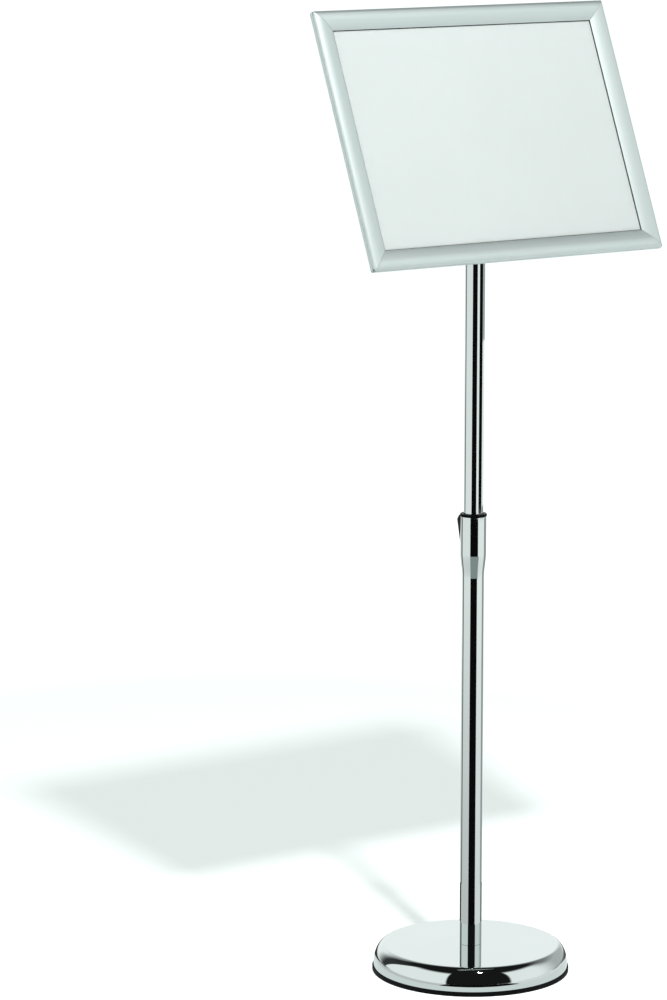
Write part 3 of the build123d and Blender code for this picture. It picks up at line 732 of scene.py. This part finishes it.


# painted reflections: glowing floor patches seen only in reflections, dark in front of the stand and to both sides,
# lighter far behind and around the foot
ground("dark_front_near", -26, 43, 0.208, 3.29, 0.004)
ground("dark_front_far", -24, 31, 3.29, 30.0, 0.004)
ground("dark_right_far", 58, 104, 3.29, 11.0, 0.004)
ground("far_behind", 104, 200, 6.0, 30.0, 0.50, (0.92, 1, 1))
ground("dark_left_painted_reflection", -128, -107, 0.42, 30.0, 0.20, (0.9, 1, 1))
ground("grey_right_painted_reflection", 108, 150, 0.42, 3.40, 0.40, (0.92, 1, 1))
# the dark patches by the foot and the glow ring around it paint shade and light into the base's reflection
ground("dark_left_foot", -160, -118, 0.13, 0.42, 0.04)
ground("dark_right_foot", 118, 165, 0.13, 0.42, 0.12)
ground("foot_glow", -116, 116, 0.1265, 0.204, 0.92, (0.93, 1, 0.99))
# a glowing ring seen only in reflections paints the grey band on the lower tube's taper
card("taper_painted_reflection", 0.045, -21, 41, 0.5035, 0.5305, 0.36, (0.85, 1, 0.98))

# key lamp, high at the front right of the camera's line
key = bpy.data.lights.new("key", "AREA")
key.shape = "DISK"
key.size = 0.20
key.energy = 0.8 * KEY
ko = bpy.data.objects.new("key", key)
scene.collection.objects.link(ko)
ko.location = (-0.57, -1.525, 2.9)
ko.rotation_mode = "QUATERNION"
ko.rotation_quaternion = (Vector((0.05, 0.15, 0.6)) - ko.location).to_track_quat("-Z", "Y")

# a second lamp beside it that lights only the floor, so that the paper burns out and keeps the same soft shadow
lift = key.copy()
lift.name = "key_floor"
lift.energy = 34.0
lo_ = bpy.data.objects.new("key_floor", lift)
scene.collection.objects.link(lo_)
lo_.location = ko.location
lo_.rotation_mode = "QUATERNION"
lo_.rotation_quaternion = ko.rotation_quaternion
only_floor = bpy.data.collections.new("only_floor")
only_floor.objects.link(floor)
lo_.light_linking.receiver_collection = only_floor
soft = key.copy()
soft.name = "key_matt"
so_ = bpy.data.objects.new("key_matt", soft)
scene.collection.objects.link(so_)
so_.location = ko.location
so_.rotation_mode = "QUATERNION"
so_.rotation_quaternion = ko.rotation_quaternion
so_.visible_glossy = False
soft.energy = 0.2 * KEY

# the room: white behind for the camera, even light for matt surfaces; reflections alone see a painted surround by
# direction: two bright sides and a bright back, a dark gap on the camera's side and a dark top
world = bpy.data.worlds.new("studio")
scene.world = world
world.use_nodes = True
nt = world.node_tree
nt.nodes.clear()
wo = nt.nodes.new("ShaderNodeOutputWorld")
lp = nt.nodes.new("ShaderNodeLightPath")
tc = nt.nodes.new("ShaderNodeTexCoord")


def vdot(vec):
    n = nt.nodes.new("ShaderNodeVectorMath")
    n.operation = "DOT_PRODUCT"
    nt.links.new(tc.outputs["Generated"], n.inputs[0])
    n.inputs[1].default_value = vec
    return n.outputs["Value"]


def mth(op, a, b=0.0, clamp=False):
    n = nt.nodes.new("ShaderNodeMath")
    n.operation = op
    n.use_clamp = clamp
    for k, v in enumerate((a, b)):
        if isinstance(v, (int, float)):
            n.inputs[k].default_value = v
        else:
            nt.links.new(v, n.inputs[k])
    return n.outputs[0]


def sstep(v, a, b, c=0.0, d=1.0):
    n = nt.nodes.new("ShaderNodeMapRange")
    n.interpolation_type = "SMOOTHSTEP"
    n.inputs["From Min"].default_value = a
    n.inputs["From Max"].default_value = b
    n.inputs["To Min"].default_value = c
    n.inputs["To Max"].default_value = d
    nt.links.new(v, n.inputs["Value"])
    return n.outputs["Result"]


to_cam = (math.cos(CAMDIR), math.sin(CAMDIR), 0.0)
to_right = (-math.sin(CAMDIR), math.cos(CAMDIR), 0.0)
# masks by direction that paint light and dark bands into reflections only; flag is the painted dark band on the left
A = mth("MULTIPLY", mth("ARCTAN2", vdot(to_right), vdot(to_cam)), 180 / math.pi)
E = mth("MULTIPLY", mth("ARCSINE", vdot((0, 0, 1))), 180 / math.pi)
gap = mth("MULTIPLY", sstep(A, -30, -27), sstep(A, 47, 51, 1, 0))
ceil_ = sstep(E, 40, 53)
flag = mth("MULTIPLY", sstep(A, -152, -124), sstep(mth("SUBTRACT", A, mth("MULTIPLY", E, 0.62)), -121, -118, 1, 0))
rgrey = mth("MULTIPLY", sstep(A, 90, 128), sstep(A, 158, 173, 1, 0))
high = mth("MULTIPLY", sstep(E, 22, 42), sstep(mth("ABSOLUTE", A), 90, 130))
lit = mth("SUBTRACT", 1.0, ceil_)
lit = mth("MULTIPLY", lit, mth("SUBTRACT", 1.0, gap))
lit = mth("MULTIPLY", lit, mth("SUBTRACT", 1.0, mth("MULTIPLY", flag, 0.97)))
lit = mth("MULTIPLY", lit, mth("SUBTRACT", 1.0, mth("MULTIPLY", rgrey, 0.50)))
lit = mth("MULTIPLY", lit, mth("SUBTRACT", 1.0, mth("MULTIPLY", high, 0.60)))
lit = mth("MULTIPLY_ADD", lit, WALL)
lit.node.inputs[2].default_value = 0.012
bg_g = nt.nodes.new("ShaderNodeBackground")
bg_g.inputs["Color"].default_value = (0.965, 1.0, 0.99, 1)
nt.links.new(lit, bg_g.inputs["Strength"])
bg_d = nt.nodes.new("ShaderNodeBackground")
bg_d.inputs["Color"].default_value = (0.97, 1.0, 0.99, 1)
bg_d.inputs["Strength"].default_value = AMBIENT
bg_c = nt.nodes.new("ShaderNodeBackground")
bg_c.inputs["Color"].default_value = (1, 1, 1, 1)
bg_c.inputs["Strength"].default_value = 1.0
m1 = nt.nodes.new("ShaderNodeMixShader")
m2 = nt.nodes.new("ShaderNodeMixShader")
nt.links.new(lp.outputs["Is Glossy Ray"], m1.inputs["Fac"])
nt.links.new(bg_d.outputs[0], m1.inputs[1])
nt.links.new(bg_g.outputs[0], m1.inputs[2])
nt.links.new(lp.outputs["Is Camera Ray"], m2.inputs["Fac"])
nt.links.new(m1.outputs[0], m2.inputs[1])
nt.links.new(bg_c.outputs[0], m2.inputs[2])
nt.links.new(m2.outputs[0], wo.inputs["Surface"])
